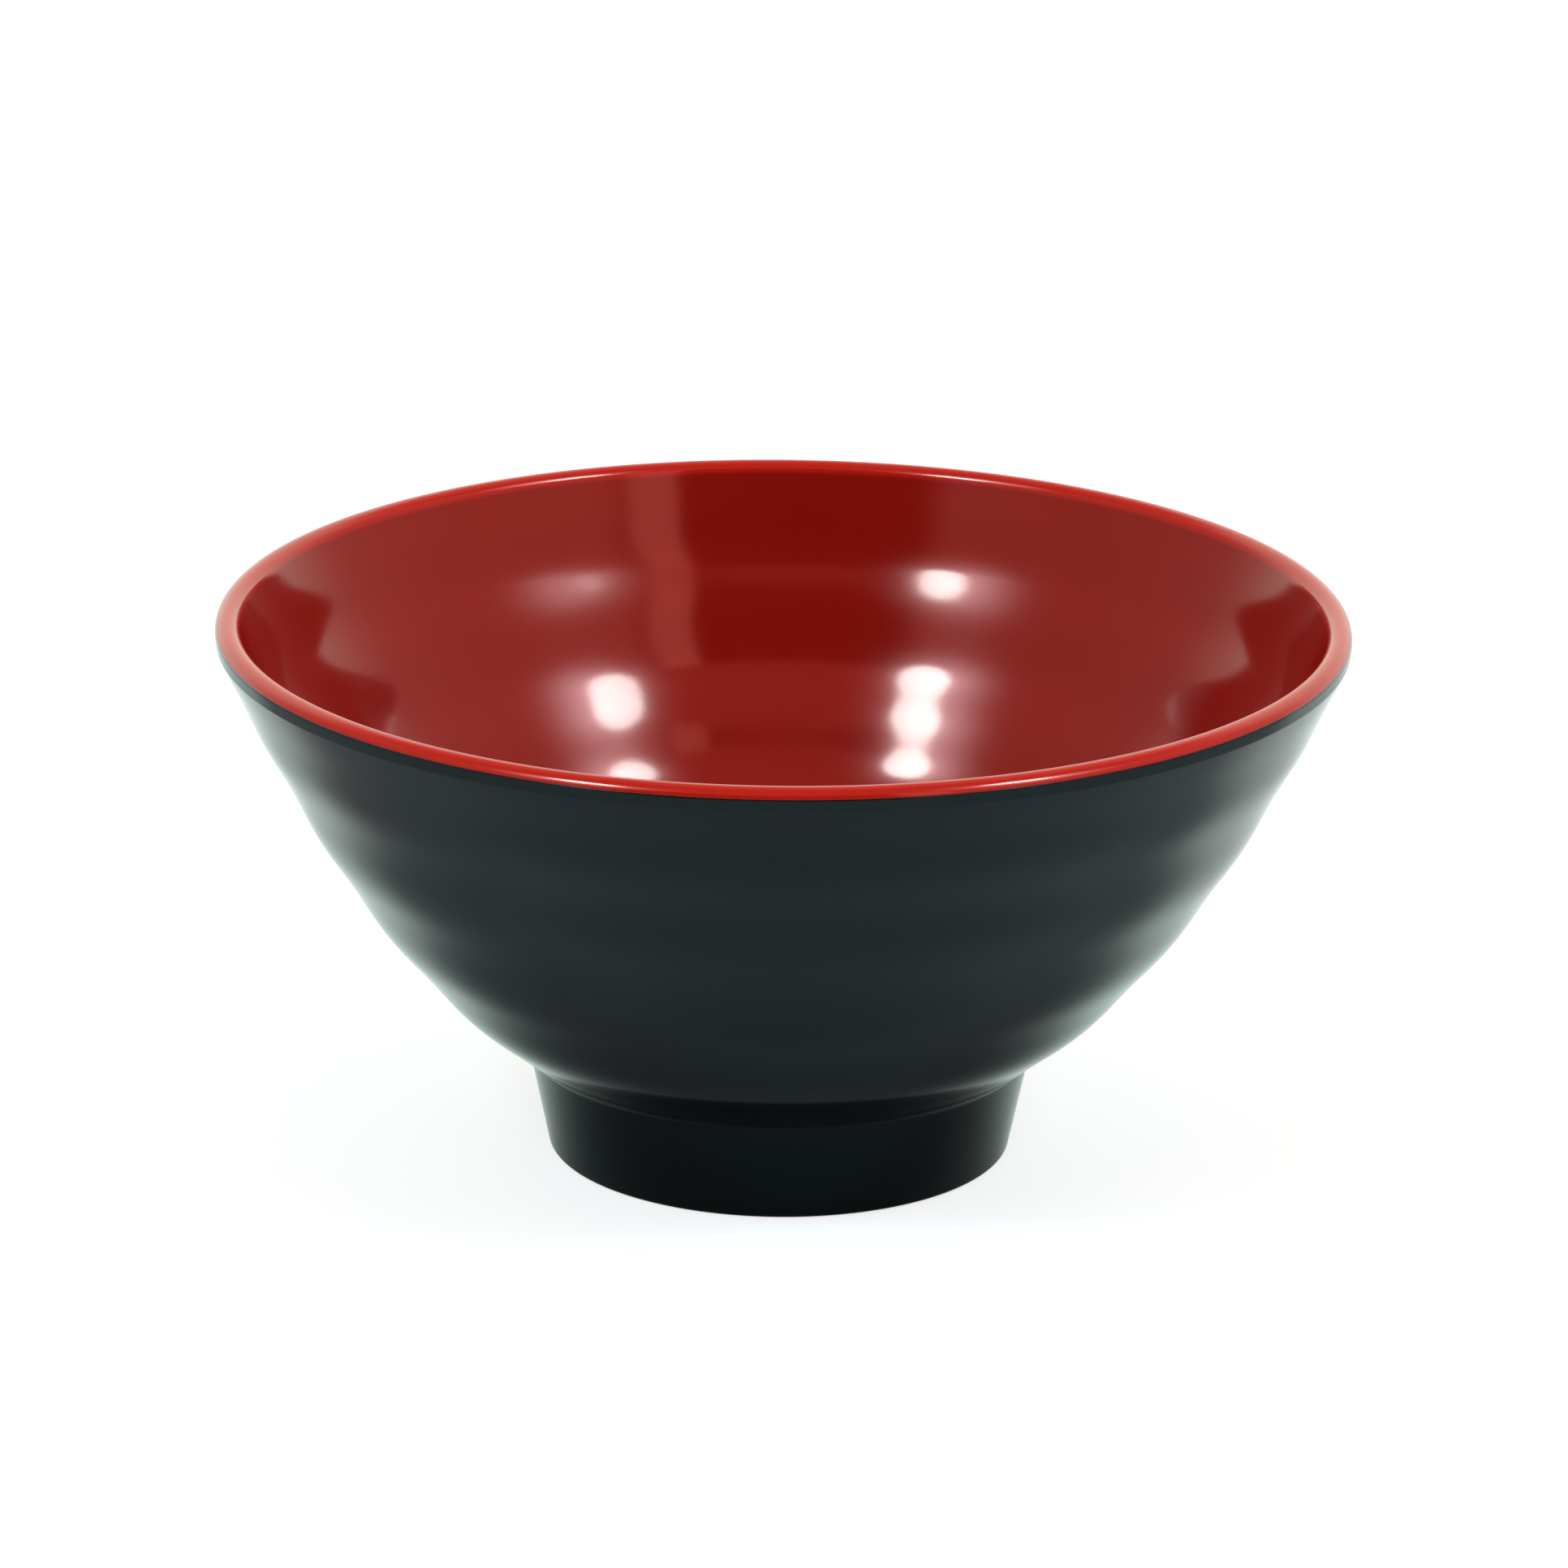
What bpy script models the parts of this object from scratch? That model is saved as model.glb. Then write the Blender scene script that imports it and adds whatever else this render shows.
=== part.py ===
"""Two-colour melamine soup bowl: a black shell with a moulded foot, and a red liner with a rolled lip.

Both pieces are turned from profiles in the (radius, height) plane. Metres, +Z up, and the origin is the
centre of the foot's underside, on the table. A lean is an angle from the vertical, outwards.
"""

import math

import bmesh
import bpy
import numpy as np

# Overall sizes
RIM_DIAMETER = 0.2000
HEIGHT = 0.0982

# Wall: black shell, bond line and red liner, from outside to inside
SHELL_THICKNESS = 0.00175
BOND_GAP = 0.0003
LINER_THICKNESS = 0.00175

# Outside curve of the wall: its lean at both ends, and how far each lean carries, as a share of the chord
WALL_LEAN_AT_FOOT = math.radians(56.8)
WALL_LEAN_AT_RIM = math.radians(26.0)
WALL_CARRY_AT_FOOT = 0.351
WALL_CARRY_AT_RIM = 0.284

# Faint turned rings, measured along the wall. Those inside are spaced a little wider than those outside.
RING_SWELL = 0.00021
OUTSIDE_RING_PITCH = 0.0208
OUTSIDE_FIRST_GROOVE = 0.0069
INSIDE_RING_PITCH = 0.0221
INSIDE_FIRST_GROOVE = 0.0047
RING_FADE_AT_FOOT = 0.0060
RING_FADE_AT_RIM = 0.0180

# Lip: a full round, thicker than the wall, over a steep black band that ends in an edge against the wall
LIP_DIAMETER = 0.0044
BAND_HEIGHT = 0.0014
BAND_DRAFT = math.radians(2.5)
BAND_EDGE_RADIUS = 0.0006

# Lean of the lip's surface where the red ends and the black begins
PARTING_LEAN = math.radians(77.0)

# Inside, the wall thickens up to the lip: the length this takes, how it gathers, and the lean at its end
LIP_TAPER = 0.0170
LIP_TAPER_POWER = 1.5
INSIDE_LEAN_AT_RIM = math.radians(21.0)

# Foot: a drafted ring with the wall's curve starting at its top
FOOT_DIAMETER = 0.0820
FOOT_HEIGHT = 0.0182
FOOT_DRAFT = math.radians(11.9)
FOOT_RING_WIDTH = 0.0058
FOOT_EDGE_RADIUS = 0.0012
JUNCTION_RADIUS = 0.0020
RECESS_DEPTH = 0.0090
RECESS_DRAFT = math.radians(8.0)
RECESS_CORNER_RADIUS = 0.0025

# Finishes: linear colours and roughness
BLACK = (0.0050, 0.0060, 0.0060)
BLACK_ROUGHNESS = 0.13
RED = (0.42, 0.018, 0.010)
RED_ROUGHNESS = 0.08

# Fineness of the meshes
SEGMENTS = 60
POINTS_PER_RING = 5
BOND_POINTS = 7
FLOOR_STEPS = 8
LIP_STEPS = 8
PARTING_STEPS = 3
EDGE_STEPS = 2
CURVE_SAMPLES = 800
AXIS_MERGE = 0.00001
SMOOTH_ANGLE = math.radians(35.0)

# Sizes that follow from the ones above
WALL_THICKNESS = SHELL_THICKNESS + BOND_GAP + LINER_THICKNESS
LIP_RADIUS = LIP_DIAMETER / 2
QUARTER_TURN = math.radians(90)


def leaning(lean):
    """Unit vector (radius, height) at this lean from the vertical."""
    return np.array([math.sin(lean), math.cos(lean)])


# Places that several profiles share
LIP_CENTRE = np.array([RIM_DIAMETER / 2 - LIP_RADIUS, HEIGHT - LIP_RADIUS])
FOOT_CORNER = np.array([FOOT_DIAMETER / 2, 0.0])
FOOT_TOP = FOOT_CORNER + leaning(FOOT_DRAFT) * FOOT_HEIGHT / math.cos(FOOT_DRAFT)
OUT_OF_WALL_AT_FOOT = WALL_LEAN_AT_FOOT + QUARTER_TURN
OUT_OF_WALL_AT_RIM = WALL_LEAN_AT_RIM + QUARTER_TURN
JUNCTION_REACH = JUNCTION_RADIUS * math.tan((WALL_LEAN_AT_FOOT - FOOT_DRAFT) / 2)

# The band hangs from the side of the lip, and the wall's outside ends at its lower corner
OUT_OF_BAND = BAND_DRAFT + QUARTER_TURN
BAND_TOP = LIP_CENTRE + leaning(OUT_OF_BAND) * LIP_RADIUS
BAND_CORNER = BAND_TOP - leaning(BAND_DRAFT) * BAND_HEIGHT

# The inside of the lip, and how deep it lies behind the band's corner, square to the wall
INSIDE_OF_LIP = LIP_CENTRE + leaning(INSIDE_LEAN_AT_RIM - QUARTER_TURN) * LIP_RADIUS
RIM_THICKNESS = float((BAND_CORNER - INSIDE_OF_LIP) @ leaning(OUT_OF_WALL_AT_RIM))

# The inside floor lies one wall above the recess, and an arc takes it up into the wall
FLOOR_HEIGHT = RECESS_DEPTH + WALL_THICKNESS
INSIDE_OF_FOOT_TOP = FOOT_TOP - leaning(OUT_OF_WALL_AT_FOOT) * WALL_THICKNESS
FLOOR_RADIUS = (INSIDE_OF_FOOT_TOP[1] - FLOOR_HEIGHT) / (1 - math.sin(WALL_LEAN_AT_FOOT))
FLOOR_CENTRE = INSIDE_OF_FOOT_TOP - leaning(OUT_OF_WALL_AT_FOOT) * FLOOR_RADIUS


def arc(centre, radius, first_lean, last_lean, steps):
    """Points on a circle, from one lean to the other."""
    leans = np.linspace(first_lean, last_lean, steps + 1)
    return centre + radius * np.stack([np.sin(leans), np.cos(leans)], axis=1)


def rounded(before, corner, after, radius, steps=EDGE_STEPS):
    """Arc that rounds the corner between two straight runs, from the first run to the second."""
    back = (before - corner) / np.linalg.norm(before - corner)
    onward = (after - corner) / np.linalg.norm(after - corner)
    half_angle = math.acos(float(back @ onward)) / 2
    middle = (back + onward) / np.linalg.norm(back + onward)
    centre = corner + middle * radius / math.sin(half_angle)
    reach = radius / math.tan(half_angle)
    first = corner + back * reach - centre
    last = corner + onward * reach - centre
    turn = math.pi - 2 * half_angle
    share = np.linspace(0.0, 1.0, steps + 1)[:, None]
    return centre + (np.sin((1 - share) * turn) * first + np.sin(share * turn) * last) / math.sin(turn)


def wall_curve(start, count):
    """Points spaced evenly along the outside wall, their outward normals and their distances from the foot.

    The wall is one cubic Bezier curve from the top of the foot to the corner of the band, and the first
    point lies at the starting distance.
    """
    foot = FOOT_TOP
    rim = BAND_CORNER
    chord = np.linalg.norm(rim - foot)
    foot_handle = foot + leaning(WALL_LEAN_AT_FOOT) * WALL_CARRY_AT_FOOT * chord
    rim_handle = rim - leaning(WALL_LEAN_AT_RIM) * WALL_CARRY_AT_RIM * chord
    t = np.linspace(0.0, 1.0, CURVE_SAMPLES)[:, None]
    back = 1 - t
    points = back**3 * foot + 3 * back**2 * t * foot_handle + 3 * back * t**2 * rim_handle + t**3 * rim
    runs = np.linalg.norm(np.diff(points, axis=0), axis=1)
    along = np.concatenate([[0.0], np.cumsum(runs)])
    slopes = np.gradient(points, along, axis=0)
    normals = np.stack([slopes[:, 1], -slopes[:, 0]], axis=1)
    normals /= np.linalg.norm(normals, axis=1)[:, None]
    wanted = np.linspace(start, along[-1], count)
    return (
        np.stack([np.interp(wanted, along, points[:, k]) for k in range(2)], axis=1),
        np.stack([np.interp(wanted, along, normals[:, k]) for k in range(2)], axis=1),
        wanted,
    )


def ringed_wall(depth, depth_at_rim, pitch, first_groove):
    """The wall at this depth inside its outer face, with the turned rings, from the foot up to the lip.

    The rings are a cosine of the distance along the wall, faded out at both ends. Near the lip the depth
    grows to the one at the rim.
    """
    length = wall_curve(0.0, 2)[2][-1]
    count = 1 + math.ceil((length - JUNCTION_REACH) / pitch * POINTS_PER_RING)
    points, normals, along = wall_curve(JUNCTION_REACH, count)
    swell = -RING_SWELL * np.cos(2 * math.pi * (along - first_groove) / pitch)
    from_foot = (along - JUNCTION_REACH) / RING_FADE_AT_FOOT
    from_rim = (length - along) / RING_FADE_AT_RIM
    fade = np.clip(np.minimum(from_foot, from_rim), 0.0, 1.0)
    swell *= fade * fade * (3 - 2 * fade)
    taper = np.clip(1 - (length - along) / LIP_TAPER, 0.0, 1.0) ** LIP_TAPER_POWER
    depths = depth + (depth_at_rim - depth) * taper
    return points + normals * (swell - depths)[:, None]


def floor(depth, steps=FLOOR_STEPS):
    """The floor at this depth inside the wall's outer face, from the axis out to the foot of the wall."""
    curve = arc(
        FLOOR_CENTRE,
        FLOOR_RADIUS + WALL_THICKNESS - depth,
        math.pi,
        OUT_OF_WALL_AT_FOOT,
        steps,
    )
    return np.concatenate([[[0.0, curve[0, 1]]], curve])


def bond_face(depth):
    """The plain face along the bond line at this depth, from the axis up into the lip."""
    points, normals, _ = wall_curve(0.0, BOND_POINTS)
    return np.concatenate([floor(depth)[:-1], points - normals * depth])


def underside():
    """The foot from the junction with the wall, down round its ring and up into the recess, to the axis."""
    inner_corner = FOOT_CORNER - [FOOT_RING_WIDTH, 0.0]
    recess_corner = inner_corner + [-RECESS_DEPTH * math.tan(RECESS_DRAFT), RECESS_DEPTH]
    recess_centre = np.array([0.0, RECESS_DEPTH])
    above = FOOT_TOP + leaning(WALL_LEAN_AT_FOOT)
    return np.concatenate(
        [
            rounded(above, FOOT_TOP, FOOT_CORNER, JUNCTION_RADIUS),
            rounded(FOOT_TOP, FOOT_CORNER, inner_corner, FOOT_EDGE_RADIUS),
            rounded(FOOT_CORNER, inner_corner, recess_corner, FOOT_EDGE_RADIUS),
            rounded(inner_corner, recess_corner, recess_centre, RECESS_CORNER_RADIUS),
            [recess_centre],
        ]
    )


def shell_profile():
    """Black shell: up its bonded face, over its bevelled top edge, down the outside and round the foot."""
    half_gap = BOND_GAP / 2 / LIP_RADIUS
    side_of_lip = arc(LIP_CENTRE, LIP_RADIUS, PARTING_LEAN + half_gap, OUT_OF_BAND, PARTING_STEPS)
    below = BAND_CORNER - leaning(WALL_LEAN_AT_RIM)
    band_edge = rounded(BAND_TOP, BAND_CORNER, below, BAND_EDGE_RADIUS)
    outside = ringed_wall(0.0, 0.0, OUTSIDE_RING_PITCH, OUTSIDE_FIRST_GROOVE)[::-1]
    return np.concatenate([bond_face(SHELL_THICKNESS), side_of_lip, band_edge, outside[1:-1], underside()])


def liner_profile():
    """Red liner: up the inside, over the lip to the parting line, and down its bonded face."""
    half_gap = BOND_GAP / 2 / LIP_RADIUS
    wall = ringed_wall(WALL_THICKNESS, RIM_THICKNESS, INSIDE_RING_PITCH, INSIDE_FIRST_GROOVE)
    inside = np.concatenate([floor(WALL_THICKNESS), wall])
    lip_start = INSIDE_LEAN_AT_RIM - QUARTER_TURN
    lip = arc(LIP_CENTRE, LIP_RADIUS, lip_start, PARTING_LEAN - half_gap, LIP_STEPS)
    bonded = bond_face(SHELL_THICKNESS + BOND_GAP)[::-1]
    return np.concatenate([inside[:-1], lip, bonded])


def melamine(name, colour, roughness):
    """Moulded resin of one colour."""
    material = bpy.data.materials.new(name)
    material.use_nodes = True
    shader = material.node_tree.nodes["Principled BSDF"]
    shader.inputs["Base Color"].default_value = (*colour, 1.0)
    shader.inputs["Roughness"].default_value = roughness
    shader.inputs["Metallic"].default_value = 0.0
    return material


def turned(name, profile, material):
    """Object turned round the Z axis from a profile that starts and ends on that axis."""
    form = bmesh.new()
    points = [form.verts.new((radius, 0.0, height)) for radius, height in profile]
    runs = [form.edges.new(pair) for pair in zip(points, points[1:])]
    bmesh.ops.spin(
        form,
        geom=points + runs,
        cent=(0.0, 0.0, 0.0),
        axis=(0.0, 0.0, 1.0),
        angle=2 * math.pi,
        steps=SEGMENTS,
        use_merge=True,
    )
    bmesh.ops.remove_doubles(form, verts=form.verts[:], dist=AXIS_MERGE)
    bmesh.ops.recalc_face_normals(form, faces=form.faces[:])
    mesh = bpy.data.meshes.new(name)
    form.to_mesh(mesh)
    form.free()
    mesh.shade_smooth()
    mesh.set_sharp_from_angle(angle=SMOOTH_ANGLE)
    mesh.materials.append(material)
    piece = bpy.data.objects.new(name, mesh)
    bpy.context.scene.collection.objects.link(piece)
    return piece


def main():
    for old in list(bpy.data.objects):
        bpy.data.objects.remove(old)
    black = melamine("black_melamine", BLACK, BLACK_ROUGHNESS)
    red = melamine("red_melamine", RED, RED_ROUGHNESS)
    turned("outer_shell", shell_profile(), black)
    turned("inner_liner", liner_profile(), red)


main()
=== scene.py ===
# %% [markdown]
# # A melamine soup bowl in black and red
# The bowl is two mouldings of melamine resin: a black shell with its foot, and a red liner pressed into it
# while both were still curing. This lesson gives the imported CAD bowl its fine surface, its two finishes, a
# white table and soft studio light. Lengths are metres, and the bowl stands on z = 0 round the Z axis.

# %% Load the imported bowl
import math

import bpy
import numpy as np
from mathutils import Matrix, Vector


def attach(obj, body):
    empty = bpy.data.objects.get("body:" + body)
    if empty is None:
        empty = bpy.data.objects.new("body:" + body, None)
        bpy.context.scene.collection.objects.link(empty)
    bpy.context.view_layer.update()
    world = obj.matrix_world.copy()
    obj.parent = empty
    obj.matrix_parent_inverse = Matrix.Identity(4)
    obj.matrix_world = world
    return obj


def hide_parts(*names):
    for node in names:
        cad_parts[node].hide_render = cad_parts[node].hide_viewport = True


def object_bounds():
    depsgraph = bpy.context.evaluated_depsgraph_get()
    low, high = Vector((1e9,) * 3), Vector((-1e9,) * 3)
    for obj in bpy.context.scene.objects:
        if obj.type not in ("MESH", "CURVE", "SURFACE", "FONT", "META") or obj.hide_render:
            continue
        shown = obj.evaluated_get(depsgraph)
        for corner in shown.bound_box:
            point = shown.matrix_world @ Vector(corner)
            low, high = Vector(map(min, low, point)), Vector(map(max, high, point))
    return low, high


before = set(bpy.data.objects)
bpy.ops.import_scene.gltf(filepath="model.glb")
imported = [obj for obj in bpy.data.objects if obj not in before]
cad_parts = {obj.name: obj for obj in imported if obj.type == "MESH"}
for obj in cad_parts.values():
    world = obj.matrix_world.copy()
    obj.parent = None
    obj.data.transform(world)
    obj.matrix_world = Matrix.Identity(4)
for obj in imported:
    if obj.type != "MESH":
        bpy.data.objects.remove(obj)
cad_low, cad_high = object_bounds()
rim_radius = cad_high[0]
height = cad_high[2]
print(f"CAD bowl: {2000 * rim_radius:.1f} mm across the rim, {1000 * height:.1f} mm high")

# %% [markdown]
# ## The camera
# The camera comes first, because every later choice is judged through it. A long lens stands about 1.6 m in
# front of the bowl and a little above it. The point that it looks at is given by where the bowl's axis falls
# in the picture, so the lens needs no shift.

# %% Place the camera
picture_side = 1932
focal_pixels = 11036.0
aim_height = 0.04895
aim_pixel = (962.6, 1082.5)
camera_elevation = math.radians(18.72)
camera_distance = 1.592
camera_roll = math.radians(0.56)
sensor_width = 36.0

right = Vector((1.0, 0.0, 0.0))
forward = Vector((0.0, math.cos(camera_elevation), -math.sin(camera_elevation)))
upward = right.cross(forward)
eye = Vector((0.0, 0.0, aim_height)) - forward * camera_distance


def sight_line(column, row):
    """Direction from the eye through a place in the picture, for a camera rolled about the aimed line."""
    across = column - aim_pixel[0]
    down = row - aim_pixel[1]
    level_across = math.cos(camera_roll) * across + math.sin(camera_roll) * down
    level_down = math.cos(camera_roll) * down - math.sin(camera_roll) * across
    return (right * level_across - upward * level_down + forward * focal_pixels).normalized()


middle = picture_side / 2
backward = -sight_line(middle, middle)
sideways = sight_line(middle + 1, middle) - sight_line(middle - 1, middle)
sideways = (sideways - backward * sideways.dot(backward)).normalized()
lens = bpy.data.cameras.new("camera")
lens.sensor_width = sensor_width
lens.lens = focal_pixels * sensor_width / picture_side
camera = bpy.data.objects.new("camera", lens)
turn = Matrix((sideways, backward.cross(sideways), backward)).transposed()
camera.matrix_world = Matrix.Translation(eye) @ turn.to_4x4()
bpy.context.scene.collection.objects.link(camera)
bpy.context.scene.camera = camera
print(f"Camera: {lens.lens:.0f} mm lens, {camera_distance:.2f} m away")

# %% [markdown]
# ## The wall's curve
# On the real bowl one smooth curve runs from the foot to the lip, and the mould has left faint rings on it,
# as if it had been turned on a lathe. The curve could be drawn point by point, but a cubic Bezier needs only
# the lean at both ends and how far each lean carries. The rings are a cosine of the distance along it.
# Inside, the same curve lies one wall deeper, and below the lip the wall thickens to meet it.

# %% Sizes of the wall
wall_thickness = 0.0038
wall_lean_at_foot = math.radians(56.8)
wall_lean_at_rim = math.radians(26.0)
wall_carry_at_foot = 0.351
wall_carry_at_rim = 0.284
lip_radius = 0.0022
lip_taper = 0.0170
lip_taper_power = 1.5
inside_lean_at_rim = math.radians(21.0)
band_height = 0.0014
band_draft = math.radians(2.5)
band_edge_radius = 0.0006
foot_radius = 0.0410
foot_height = 0.0182
foot_draft = math.radians(11.9)
junction_radius = 0.0020
quarter_turn = math.radians(90)


def leaning(lean):
    """Unit vector (radius, height) at this lean from the vertical: its sine and its cosine."""
    return np.array([math.sin(lean), math.cos(lean)])


lip_centre = np.array([rim_radius - lip_radius, height - lip_radius])
foot_corner = np.array([foot_radius, 0.0])
foot_top = foot_corner + leaning(foot_draft) * foot_height / math.cos(foot_draft)
out_at_foot = wall_lean_at_foot + quarter_turn
out_at_rim = wall_lean_at_rim + quarter_turn
out_at_band = band_draft + quarter_turn
band_top = lip_centre + leaning(out_at_band) * lip_radius
band_corner = band_top - leaning(band_draft) * band_height
inside_of_lip = lip_centre + leaning(inside_lean_at_rim - quarter_turn) * lip_radius
rim_thickness = float((band_corner - inside_of_lip) @ leaning(out_at_rim))
junction_reach = junction_radius * math.tan((wall_lean_at_foot - foot_draft) / 2)
print(f"Wall: {1000 * wall_thickness:.1f} mm thick, and {1000 * rim_thickness:.1f} mm below the lip")

# %% The wall and its rings
ring_swell = 0.00021
outside_rings = {"pitch": 0.0208, "first_groove": 0.0069}
inside_rings = {"pitch": 0.0221, "first_groove": 0.0047}
ring_fade_at_foot = 0.0060
ring_fade_at_rim = 0.0180
curve_samples = 2000
wall_steps = 190


def eased(share):
    """Smooth step from 0 to 1: thrice the square less twice the cube of the share, kept in range."""
    share = np.clip(share, 0.0, 1.0)
    return share * share * (3 - 2 * share)


def wall_curve(start, steps):
    """Points evenly along the outside of the wall, their outward normals and their distances from the foot.

    The Bezier weights are (1 - t)^3, 3 (1 - t)^2 t, 3 (1 - t) t^2 and t^3.
    """
    rim = band_corner
    chord = np.linalg.norm(rim - foot_top)
    foot_handle = foot_top + leaning(wall_lean_at_foot) * wall_carry_at_foot * chord
    rim_handle = rim - leaning(wall_lean_at_rim) * wall_carry_at_rim * chord
    t = np.linspace(0.0, 1.0, curve_samples)[:, None]
    back = 1 - t
    points = back**3 * foot_top + 3 * back**2 * t * foot_handle + 3 * back * t**2 * rim_handle + t**3 * rim
    along = np.concatenate([[0.0], np.cumsum(np.linalg.norm(np.diff(points, axis=0), axis=1))])
    slopes = np.gradient(points, along, axis=0)
    normals = np.stack([slopes[:, 1], -slopes[:, 0]], axis=1)
    normals /= np.linalg.norm(normals, axis=1)[:, None]
    wanted = np.linspace(start, along[-1], steps + 1)
    place = [np.interp(wanted, along, points[:, k]) for k in range(2)]
    normal = [np.interp(wanted, along, normals[:, k]) for k in range(2)]
    return np.stack(place, axis=1), np.stack(normal, axis=1), wanted


def ringed_wall(depth, depth_at_rim, pitch, first_groove):
    """The wall at this depth inside its outer face, moved out by its rings.

    The rings are minus a cosine of the distance along the wall, faded out at both ends. Over the taper below
    the lip the depth grows to the one at the rim, by a power of the share of the taper that lies below.
    """
    points, normals, along = wall_curve(junction_reach, wall_steps)
    swell = -ring_swell * np.cos(2 * math.pi * (along - first_groove) / pitch)
    swell *= eased((along - along[0]) / ring_fade_at_foot) * eased((along[-1] - along) / ring_fade_at_rim)
    taper = np.clip(1 - (along[-1] - along) / lip_taper, 0.0, 1.0) ** lip_taper_power
    return points + normals * (swell - depth - (depth_at_rim - depth) * taper)[:, None]


wall_length = wall_curve(0.0, 2)[2][-1]
ring_count = wall_length / outside_rings["pitch"]
print(f"Curve: {1000 * wall_length:.1f} mm from foot to lip, {ring_count:.1f} rings")

# %% [markdown]
# ## Floor, lip and foot
# Inside, an arc takes the wall down into the floor. The lip is a full round, and the red liner rolls over it
# and ends a little above its widest place. Under it a steep black band leads down to the wall. The foot is a
# drafted ring with a recess under it. Each of these is an arc, a straight run or a rounded corner, so a few
# radii describe them all.

# %% Arcs and rounded corners
foot_ring_width = 0.0058
foot_edge_radius = 0.0012
recess_depth = 0.0090
recess_draft = math.radians(8.0)
recess_corner_radius = 0.0025
floor_steps = 28
corner_steps = 8


def arc(centre, radius, first_lean, last_lean, steps):
    """Points on a circle: the centre plus the radius times (sine, cosine) of leans spaced evenly."""
    leans = np.linspace(first_lean, last_lean, steps + 1)
    return centre + radius * np.stack([np.sin(leans), np.cos(leans)], axis=1)


def rounded(before, corner, after, radius, steps=corner_steps):
    """Arc that touches both runs of a corner: its first and last radius, mixed by sines of the turn."""
    back = (before - corner) / np.linalg.norm(before - corner)
    onward = (after - corner) / np.linalg.norm(after - corner)
    half_angle = math.acos(float(back @ onward)) / 2
    middle_line = (back + onward) / np.linalg.norm(back + onward)
    centre = corner + middle_line * radius / math.sin(half_angle)
    first = corner + back * radius / math.tan(half_angle) - centre
    last = corner + onward * radius / math.tan(half_angle) - centre
    turned_by = math.pi - 2 * half_angle
    share = np.linspace(0.0, 1.0, steps + 1)[:, None]
    mixed = np.sin((1 - share) * turned_by) * first + np.sin(share * turned_by) * last
    return centre + mixed / math.sin(turned_by)


floor_height = recess_depth + wall_thickness
inside_of_foot_top = foot_top - leaning(out_at_foot) * wall_thickness
floor_radius = (inside_of_foot_top[1] - floor_height) / (1 - math.sin(wall_lean_at_foot))
floor_centre = inside_of_foot_top - leaning(out_at_foot) * floor_radius


def floor(depth):
    """The floor at this depth inside the wall's outer face: flat at the axis, then an arc up to the wall."""
    curve = arc(floor_centre, floor_radius + wall_thickness - depth, math.pi, out_at_foot, floor_steps)
    middle_steps = np.linspace(0.0, curve[0, 0], corner_steps, endpoint=False)
    disc = np.stack([middle_steps, np.full(corner_steps, curve[0, 1])], axis=1)
    return np.concatenate([disc, curve])


def run(first, last, steps):
    """Points spaced evenly on a straight line, without its two ends."""
    share = np.linspace(0.0, 1.0, steps + 1)[1:-1, None]
    return (1 - share) * first + share * last


def underside():
    """The foot from its junction with the wall, round its ring and up into the recess, to the axis."""
    inner_corner = foot_corner - [foot_ring_width, 0.0]
    recess_corner = inner_corner + [-recess_depth * math.tan(recess_draft), recess_depth]
    recess_centre = np.array([0.0, recess_depth])
    junction = rounded(foot_top + leaning(wall_lean_at_foot), foot_top, foot_corner, junction_radius)
    outer_edge = rounded(foot_top, foot_corner, inner_corner, foot_edge_radius)
    inner_edge = rounded(foot_corner, inner_corner, recess_corner, foot_edge_radius)
    recess_edge = rounded(inner_corner, recess_corner, recess_centre, recess_corner_radius)
    side = run(junction[-1], outer_edge[0], corner_steps)
    recess_side = run(inner_edge[-1], recess_edge[0], corner_steps)
    recess_top = run(recess_edge[-1], recess_centre, corner_steps)
    return np.concatenate(
        [junction, side, outer_edge, inner_edge, recess_side, recess_edge, recess_top, [recess_centre]]
    )


print(f"Floor: {1000 * floor_height:.1f} mm above the table, arc of {1000 * floor_radius:.0f} mm")

# %% [markdown]
# ## Shell and liner
# Both mouldings are closed bodies of revolution, so each is one profile from the axis back to the axis. They
# meet along a bond line at mid-wall. A hair's breadth stays open there, so that the two surfaces never lie
# in the same place, and it ends on the lip as the line where red turns to black.

# %% Profiles of the two mouldings
half_gap = 0.000015
parting_lean = math.radians(77.0)
bond_steps = 30
lip_steps = 36
edge_steps = 10


def bond_face(depth):
    """The plain face along the bond line at this depth, from the axis up into the lip."""
    points, normals, _ = wall_curve(0.0, bond_steps)
    return np.concatenate([floor(depth)[:-1], points - normals * depth])


def shell_profile():
    """Black shell: up its bonded face, over its top edge, down the band and the wall and round the foot."""
    bonded = bond_face(wall_thickness / 2 - half_gap)
    side_of_lip = arc(lip_centre, lip_radius, parting_lean + half_gap / lip_radius, out_at_band, edge_steps)
    below = band_corner - leaning(wall_lean_at_rim)
    band_edge = rounded(band_top, band_corner, below, band_edge_radius)
    band = run(band_top, band_edge[0], corner_steps)
    outside = ringed_wall(0.0, 0.0, **outside_rings)[::-1]
    return np.concatenate([bonded, side_of_lip, band, band_edge, outside[1:-1], underside()])


def liner_profile():
    """Red liner: up the inside, over the lip to the parting line, and down its bonded face."""
    wall = ringed_wall(wall_thickness, rim_thickness, **inside_rings)
    lip_start = inside_lean_at_rim - quarter_turn
    lip = arc(lip_centre, lip_radius, lip_start, parting_lean - half_gap / lip_radius, lip_steps)
    bonded = bond_face(wall_thickness / 2 + half_gap)[::-1]
    return np.concatenate([floor(wall_thickness)[:-1], wall[:-1], lip, bonded])


print("Profiles:", len(shell_profile()), "points on the shell,", len(liner_profile()), "on the liner")

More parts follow.
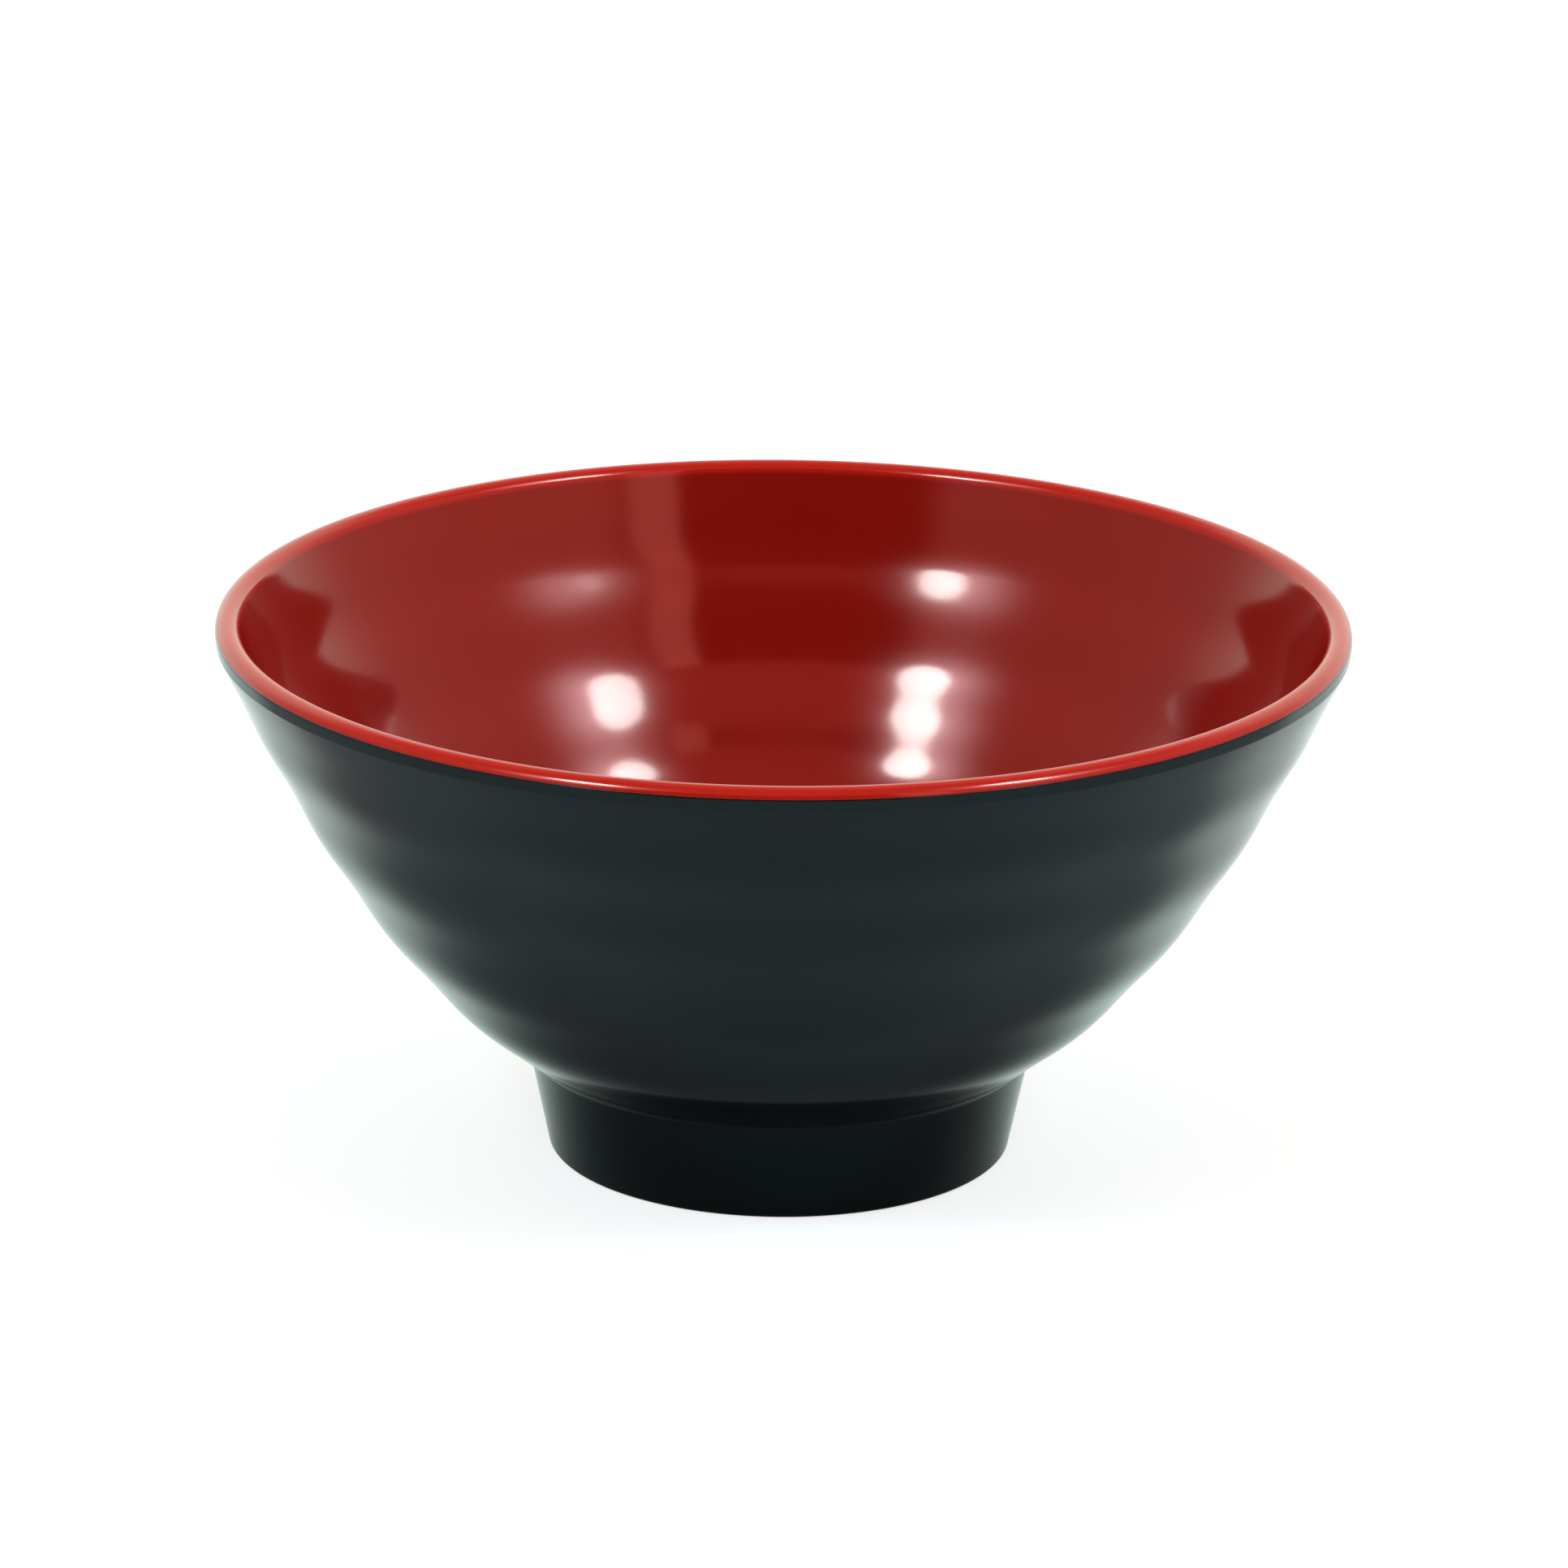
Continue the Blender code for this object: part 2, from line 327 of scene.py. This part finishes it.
# %% Turn a profile into a mesh
segments = 256


def turned(name, profile):
    """Surface of revolution: the point at place u and turn v is (r(u) cos v, r(u) sin v, z(u)).

    Rows of points run round the axis, four-sided faces join each row to the next, and a fan of triangles
    closes each end on the axis. The profile keeps the material on its right, so the faces point outwards.
    The printed volume is a sum of discs, pi times squared radius times height.
    """
    turns = np.arange(segments) * 2 * math.pi / segments
    radius, level = profile[1:-1].T
    across = radius[:, None] * np.cos(turns)
    deep = radius[:, None] * np.sin(turns)
    rows = np.stack(np.broadcast_arrays(across, deep, level[:, None]), axis=-1)
    ends = np.array([[0.0, 0.0, profile[0, 1]], [0.0, 0.0, profile[-1, 1]]])
    points = np.concatenate([rows.reshape(-1, 3), ends])
    here = np.arange(segments)
    after = (here + 1) % segments
    row = segments * np.arange(len(radius) - 1)[:, None]
    above = row + segments
    quads = np.stack([row + here, above + here, above + after, row + after], axis=-1).reshape(-1, 4)
    last_row = segments * (len(radius) - 1)
    start_fan = np.stack([np.full(segments, len(points) - 2), here, after], axis=1)
    end_fan = np.stack([np.full(segments, len(points) - 1), last_row + after, last_row + here], axis=1)
    mesh = bpy.data.meshes.new(name)
    mesh.from_pydata(points.tolist(), [], quads.tolist() + start_fan.tolist() + end_fan.tolist())
    mesh.shade_smooth()
    piece = bpy.data.objects.new(name, mesh)
    bpy.context.scene.collection.objects.link(piece)
    steps = np.diff(profile, axis=0)
    volume = -math.pi * np.sum(steps[:, 1] * (profile[:-1, 0] + profile[1:, 0]) ** 2 / 4)
    print(f"{name}: {len(mesh.polygons)} faces, {1e6 * volume:.1f} cubic centimetres")
    return piece


shell = turned("black_shell", shell_profile())
liner = turned("red_liner", liner_profile())

# %% [markdown]
# ## Writing finishes as sums
# A finish is a graph of nodes, and most of it is arithmetic. A small class holds one socket and gives it
# Python's operators, so that a line of maths adds its Math nodes. One method adds any other node.

# %% Sums on sockets


class Wire:
    """An output socket of a shader graph. Sums written on wires add the Math nodes that work them out."""

    def __init__(self, tree, socket=None):
        self.tree = tree
        self.socket = socket

    def node(self, kind, settings=None, sockets=None, take=0):
        """Add a node of this type: its settings first, then the values or links of its input sockets."""
        made = self.tree.nodes.new("ShaderNode" + kind)
        for name, value in (settings or {}).items():
            setattr(made, name, value)
        for name, value in (sockets or {}).items():
            self.feed(made.inputs[name], value)
        return Wire(self.tree, made.outputs[take])

    def feed(self, socket, value):
        """Link a wire to an input socket, or set the socket to a number or colour."""
        if isinstance(value, Wire):
            self.tree.links.new(value.socket, socket)
        else:
            socket.default_value = value

    def parts(self):
        """The three numbers of a vector, as three wires."""
        split = self.node("SeparateXYZ", None, {0: self}).socket.node
        return [Wire(self.tree, number) for number in split.outputs]

    def math(self, operation, first, second):
        """Add a Math node that works on two wires or numbers."""
        return self.node("Math", {"operation": operation}, {0: first, 1: second})

    def __add__(self, other):
        return self.math("ADD", self, other)

    def __sub__(self, other):
        return self.math("SUBTRACT", self, other)

    def __rsub__(self, other):
        return self.math("SUBTRACT", other, self)

    def __mul__(self, other):
        return self.math("MULTIPLY", self, other)

    def __truediv__(self, other):
        return self.math("DIVIDE", self, other)

    def __pow__(self, other):
        return self.math("POWER", self, other)

    __radd__ = __add__
    __rmul__ = __mul__

    def at_least(self, other):
        """The greater of this wire and another wire or number."""
        return self.math("MAXIMUM", self, other)

    def eased(self, low, high):
        """Smooth step from 0 at the low value to 1 at the high one."""
        stops = {"Value": self, "From Min": low, "From Max": high}
        return self.node("MapRange", {"interpolation_type": "SMOOTHSTEP"}, stops)

    def between(self, first, second):
        """Colour that is the first one where this wire is 0 and the second where it is 1."""
        return self.node("Mix", {"data_type": "RGBA"}, {0: self, 6: first, 7: second}, take=2)


def opaque(red, green, blue):
    """Linear colour with full alpha."""
    return (red, green, blue, 1.0)


def blend(share, first, second):
    """Number that is the first one where the share is 0 and the second where it is 1."""
    return first + (second - first) * share


def from_axis(x, y):
    """Distance from the Z axis: the root of the sum of both squares."""
    return (x * x + y * y) ** 0.5


def swing(noise, size):
    """Change to both sides of zero, this much from end to end, for noise from 0 to 1."""
    return size * (noise - 0.5)


# %% [markdown]
# ## Black melamine
# The shell is polished black resin with a cool cast. Its gloss is that of the mould, so it carries faint
# polishing marks that run round the bowl and the fine unevenness of a pressed surface. The ring under the
# foot has been rubbed dull by the table. One flat colour would look like paint, so soft noise clouds it, and
# noise that knows only the distance from the axis and the height draws the marks.

# %% Helpers for pressed resin
peel_height = 0.000004


def new_finish(name):
    """A material, a wire to build its graph from, the wire of its Object coordinates and its shader."""
    material = bpy.data.materials.new(name)
    material.use_nodes = True
    graph = Wire(material.node_tree)
    place = graph.node("TexCoord", take="Object")
    return material, graph, place, material.node_tree.nodes["Principled BSDF"]


def speckle(place, waves, detail, roughness=0.5):
    """Soft noise from 0 to 1, with its size set by how many waves fit in a metre."""
    settings = {"Vector": place, "Scale": waves, "Detail": detail, "Roughness": roughness}
    return place.node("TexNoise", None, settings)


def polishing_marks(x, y, z, waves):
    """Noise that changes with radius and height and not with the turn, as marks of polishing do."""
    flat = x.node("CombineXYZ", None, {0: from_axis(x, y), 1: z})
    return speckle(flat, waves, detail=4.0, roughness=0.6)


def add_peel(graph, shader, place, waves):
    """Fine unevenness of a pressed surface: a low bump of soft noise."""
    peel = speckle(place, waves, detail=2.0)
    bump = graph.node("Bump", None, {"Strength": 1.0, "Distance": peel_height, "Height": peel})
    graph.feed(shader.inputs["Normal"], bump)


print(f"Pressed surface: uneven by {1e6 * peel_height:.0f} thousandths of a millimetre")

# %% Make the black finish
black_deep = opaque(0.0014, 0.0020, 0.0021)
black_clouded = opaque(0.0024, 0.0033, 0.0034)
rubbed_grey = opaque(0.016, 0.017, 0.017)
cool_gloss = opaque(0.72, 0.94, 0.93)
black_index = 1.45
black_gloss = 0.115
rubbed_gloss = 0.45
rubbed_rise = (0.00005, 0.00045)
rubbed_patches = (0.35, 0.60)
black_waves = {"clouds": 45.0, "marks": 900.0, "peel": 420.0, "rubbing": 700.0}
black_swings = {"clouds": 0.04, "marks": 0.05}


def black_melamine():
    """Black resin: clouded colour, marks in its gloss, and a ring under the foot rubbed in patches."""
    material, graph, place, shader = new_finish("black_melamine")
    x, y, z = place.parts()
    clouds = speckle(place, black_waves["clouds"], detail=3.0)
    marks = polishing_marks(x, y, z, black_waves["marks"])
    patches = speckle(place, black_waves["rubbing"], detail=4.0, roughness=0.7)
    rubbed = (1 - z.eased(*rubbed_rise)) * patches.eased(*rubbed_patches)
    colour = clouds.between(black_deep, black_clouded)
    graph.feed(shader.inputs["Base Color"], rubbed.between(colour, rubbed_grey))
    gloss = black_gloss + swing(marks, black_swings["marks"]) + swing(clouds, black_swings["clouds"])
    graph.feed(shader.inputs["Roughness"], blend(rubbed, gloss, rubbed_gloss))
    add_peel(graph, shader, place, black_waves["peel"])
    shader.inputs["IOR"].default_value = black_index
    shader.inputs["Specular Tint"].default_value = cool_gloss
    return material


shell.data.materials.append(black_melamine())
print("Black finish:", len(shell.data.materials[0].node_tree.nodes), "nodes")

# %% [markdown]
# ## Red melamine under a clear glaze
# The liner is red resin with a thin skin of clear resin pressed over it, which reflects like lacquer. The
# pigment lies a little unevenly. The upper half of the lip is painted paler: painted light for the extra
# light that the lip catches.
# The skin could be a coat over the resin, but one glossy surface with a warm reflection shows the same.

# %% Make the red finish
red_deep = opaque(0.189, 0.0056, 0.0025)
red_clouded = opaque(0.214, 0.0069, 0.0031)
# Paler red of the lip's upper half: painted light for the light that the lip catches
red_lip_painted_light = opaque(0.365, 0.0110, 0.0039)
warm_gloss = opaque(1.0, 0.58, 0.46)
glaze_index = 1.6
glaze_gloss = 0.105
painted_light_height = 0.00088
painted_light_rise = (height - lip_radius, height - lip_radius + painted_light_height)
red_waves = {"clouds": 60.0, "marks": 700.0, "peel": 380.0}
red_swings = {"clouds": 0.03, "marks": 0.04}


def red_melamine():
    """Red resin under glaze: clouded colour, the lip's upper half painted paler as painted light, and faint
    marks in its gloss.
    """
    material, graph, place, shader = new_finish("red_melamine")
    x, y, z = place.parts()
    clouds = speckle(place, red_waves["clouds"], detail=4.0, roughness=0.6)
    marks = polishing_marks(x, y, z, red_waves["marks"])
    colour = clouds.between(red_deep, red_clouded)
    # Painted light: the upper half of the lip is painted paler, standing in for the light that it catches
    graph.feed(shader.inputs["Base Color"], z.eased(*painted_light_rise).between(colour, red_lip_painted_light))
    gloss = glaze_gloss + swing(marks, red_swings["marks"]) + swing(clouds, red_swings["clouds"])
    graph.feed(shader.inputs["Roughness"], gloss)
    add_peel(graph, shader, place, red_waves["peel"])
    shader.inputs["IOR"].default_value = glaze_index
    shader.inputs["Specular Tint"].default_value = warm_gloss
    return material


liner.data.materials.append(red_melamine())
print("Red finish:", len(liner.data.materials[0].node_tree.nodes), "nodes")

# %% [markdown]
# ## Joining the pieces to the frame
# Each moulding stands for its CAD solid and rides on the bowl's one body.

# %% Seat the shell and the liner
for piece, node, finish_slot in (
    (shell, "outer_shell", "black_melamine"),
    (liner, "inner_liner", "red_melamine"),
):
    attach(piece, "root")
    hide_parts(node)
    print(piece.name, "stands for", node)

# %% [markdown]
# ## The table
# The bowl stands on a wide pale table that is white in the picture. More light would whiten it too, but it
# would bleach the bowl, so only the camera sees a lift added to the table's matt colour, and the bowl's
# shadow stays. Polished resin mirrors the table. A wedge behind the bowl keeps a lift for mirrored rays,
# which lets the black wall fade into white at its sides, and close to the foot they meet a table colour
# painted darker, a painted shade for the foot's shadow.

# %% Lay the table
table_half = 6.0
table_pale = opaque(0.365, 0.525, 0.485)
# Painted shade: the darker table colour that mirrored rays see near the foot
table_shaded = opaque(0.175, 0.230, 0.213)
camera_lift = opaque(0.688, 0.654, 0.638)
mirrored_lift = opaque(0.56, 0.670, 0.61)
no_lift = opaque(0.0, 0.0, 0.0)
wedge_slope_left = 0.65
wedge_slope_right = 0.48
wedge_edge = (-0.10, -0.02)
wedge_start = (-0.04, 0.02)
shade_end = (0.047, 0.105)


def pale_table():
    """Matt pale table, lifted to white for the camera, and for mirrored rays in a wedge behind the bowl.

    The wedge lies where y is greater than a slope times the distance to the right or to the left.
    """
    material, graph, place, shader = new_finish("pale_table")
    x, y, _ = place.parts()
    seen = graph.node("LightPath", take="Is Camera Ray")
    mirrored = graph.node("LightPath", take="Is Glossy Ray")
    through = graph.node("LightPath", take="Is Transmission Ray")
    aside = (wedge_slope_right * x).at_least(-wedge_slope_left * x)
    wedge = (y - aside).eased(*wedge_edge) * y.eased(*wedge_start)
    lift = (mirrored * wedge).between(no_lift, mirrored_lift)
    lift = (seen + through).between(lift, camera_lift)
    # Painted shade: near the foot, mirrored rays see the table painted darker
    shaded = mirrored * (1 - from_axis(x, y).eased(*shade_end))
    graph.feed(shader.inputs["Base Color"], shaded.between(table_pale, table_shaded))
    graph.feed(shader.inputs["Emission Color"], lift)
    shader.inputs["Emission Strength"].default_value = 1.0
    shader.inputs["Roughness"].default_value = 1.0
    shader.inputs["Specular IOR Level"].default_value = 0.0
    return material


corners = [(-1, -1), (1, -1), (1, 1), (-1, 1)]
table_mesh = bpy.data.meshes.new("table")
table_mesh.from_pydata([(table_half * a, table_half * b, 0.0) for a, b in corners], [], [(0, 1, 2, 3)])
table_mesh.materials.append(pale_table())
table = bpy.data.objects.new("table", table_mesh)
bpy.context.scene.collection.objects.link(table)
print("Table:", 2 * table_half, "m square")

# %% [markdown]
# ## The room
# Glossy resin shows less of itself than of what stands round it, so the room is drawn with care. It is
# warm, with a dark screen behind the camera and a bright strip on the screen's right. Low behind the bowl
# the light is pale, and the lip mirrors it. Panels could hang there for this, but a world of a few soft
# steps by direction gives the same reflections, and each of its levels and edges has a name.

# %% Directions in the room


def height_of(degrees):
    """Upward part of a direction at this elevation: its sine."""
    return math.sin(math.radians(degrees))


def direction_at(azimuth, elevation):
    """Unit vector at these degrees to the camera's right and above the table, by sines and cosines."""
    turn_right = math.radians(azimuth)
    level_part = math.cos(math.radians(elevation))
    across = math.sin(turn_right) * level_part
    deep = -math.cos(turn_right) * level_part
    return Vector((across, deep, height_of(elevation)))


def nearness(parts, azimuth, elevation, power):
    """Glow round a direction: a power of the cosine of the angle to it."""
    x, y, z = direction_at(azimuth, elevation)
    cosine = parts[0] * x + parts[1] * y + parts[2] * z
    return cosine.at_least(0.0) ** power


print("Towards the camera:", tuple(direction_at(0.0, 0.0)))

# %% Levels and colours of the room
left_wall_level = 1.00
right_wall_level = 1.20
dim_level = 0.75
above_screen_level = 0.90
screen_level = 0.015
strip_level = 2.10
back_level = 1.34
ceiling_level = 0.70
glow_level = 8.6
glow_white = opaque(0.90, 1.0, 1.30)
back_pale = opaque(1.0, 1.0, 0.88)
front_warm = opaque(1.0, 0.45, 0.46)
upper_warm = opaque(1.0, 0.29, 0.28)
print("Levels from", screen_level, "on the screen to", strip_level, "on the strip")

# %% Edges of the room
# A glow lies at its degrees to the camera's right and above the table
left_glow = (-49.4, 44.2)
right_glow = (61.0, 45.5)
glow_power = 85.0
# Each other pair is where a soft step starts and ends
screen_top = (height_of(42.0), height_of(45.5))
ceiling_start = (height_of(66.0), height_of(78.0))
back_start = (0.30, 0.80)
back_top = (height_of(36.0), height_of(46.0))
front_start = (0.0, 0.1)
wall_middle = (-0.1, 0.1)
screen_left = (-0.84, -0.56)
screen_right = (0.43, 0.48)
strip_right = (0.66, 0.78)
right_wall_start = (0.74, 0.95)
least_forward = 0.01
print("Screen from", screen_left[1], "to", screen_right[0], "across the front")

# %% Light the room


def room_level(x, y, z, low_behind, above_screen):
    """Light by direction. Places on the front wall are given by x over the distance towards the camera."""
    forward_part = 0 - y
    aside = x / forward_part.at_least(least_forward)
    right_wall = blend(aside.eased(*right_wall_start), dim_level, right_wall_level)
    wall = blend(x.eased(*wall_middle), left_wall_level, right_wall)
    before = blend(above_screen, wall, above_screen_level)
    below_top = (1 - above_screen) * forward_part.eased(*front_start)
    strip_start = aside.eased(*screen_right)
    strip = below_top * strip_start * (1 - aside.eased(*strip_right))
    screen = below_top * aside.eased(*screen_left) * (1 - strip_start)
    before = blend(screen, blend(strip, before, strip_level), screen_level)
    return blend(z.eased(*ceiling_start), blend(low_behind, before, back_level), ceiling_level)


def room():
    """World of two lights: the room by direction, and a soft glow round each of the two lamps."""
    world = bpy.data.worlds.new("room")
    world.use_nodes = True
    graph = Wire(world.node_tree)
    parts = graph.node("TexCoord", take="Generated").parts()
    x, y, z = parts
    behind = (y / from_axis(x, y)).eased(*back_start)
    low_behind = behind * (1 - z.eased(*back_top))
    above_screen = (1 - behind) * z.eased(*screen_top)
    walls = world.node_tree.nodes["Background"]
    warmth = above_screen.between(front_warm, upper_warm)
    graph.feed(walls.inputs["Color"], low_behind.between(warmth, back_pale))
    graph.feed(walls.inputs["Strength"], room_level(x, y, z, low_behind, above_screen))
    glow = nearness(parts, *left_glow, glow_power) + nearness(parts, *right_glow, glow_power)
    glows = graph.node("Background", None, {"Color": glow_white, "Strength": glow_level * glow})
    both = graph.node("AddShader", None, {0: Wire(world.node_tree, walls.outputs[0]), 1: glows})
    graph.feed(world.node_tree.nodes["World Output"].inputs["Surface"], both)
    return world


bpy.context.scene.world = room()
print("Room:", len(bpy.context.scene.world.node_tree.nodes), "nodes")

# %% [markdown]
# ## The lamps
# Two round softboxes stand before the bowl, to the left and right of the camera. Their mirror images are the
# bright spots in the red glaze, one under another where the rings bend it, and they cast the soft shadow at
# the foot. A point lamp would give hard pinpricks, so each lamp is a disc of the size that the spots need.

# %% Hang the lamps
lamp_distance = 1.35
lamp_diameter = 0.27
lamp_white = (0.60, 1.0, 1.20)
lamps = {
    "left_lamp": {"azimuth": -46.0, "elevation": 47.1, "radiance": 27.0},
    "right_lamp": {"azimuth": 57.6, "elevation": 48.4, "radiance": 22.5},
}


def softbox(name, azimuth, elevation, radiance):
    """Round lamp that faces the bowl. Its watts are pi times its area times its radiance."""
    lamp = bpy.data.lights.new(name, "AREA")
    lamp.shape = "DISK"
    lamp.size = lamp_diameter
    lamp.color = lamp_white
    lamp.energy = math.pi * (math.pi * lamp_diameter**2 / 4) * radiance
    out = direction_at(azimuth, elevation)
    holder = bpy.data.objects.new(name, lamp)
    holder.location = Vector((0.0, 0.0, height / 2)) + out * lamp_distance
    holder.rotation_euler = out.to_track_quat("Z", "Y").to_euler()
    holder.visible_camera = False
    bpy.context.scene.collection.objects.link(holder)
    print(f"{name}: {lamp.energy:.1f} W at {azimuth:.0f} degrees to the right, {elevation:.0f} up")


for name, setting in lamps.items():
    softbox(name, **setting)
bpy.context.scene.view_settings.view_transform = "Standard"
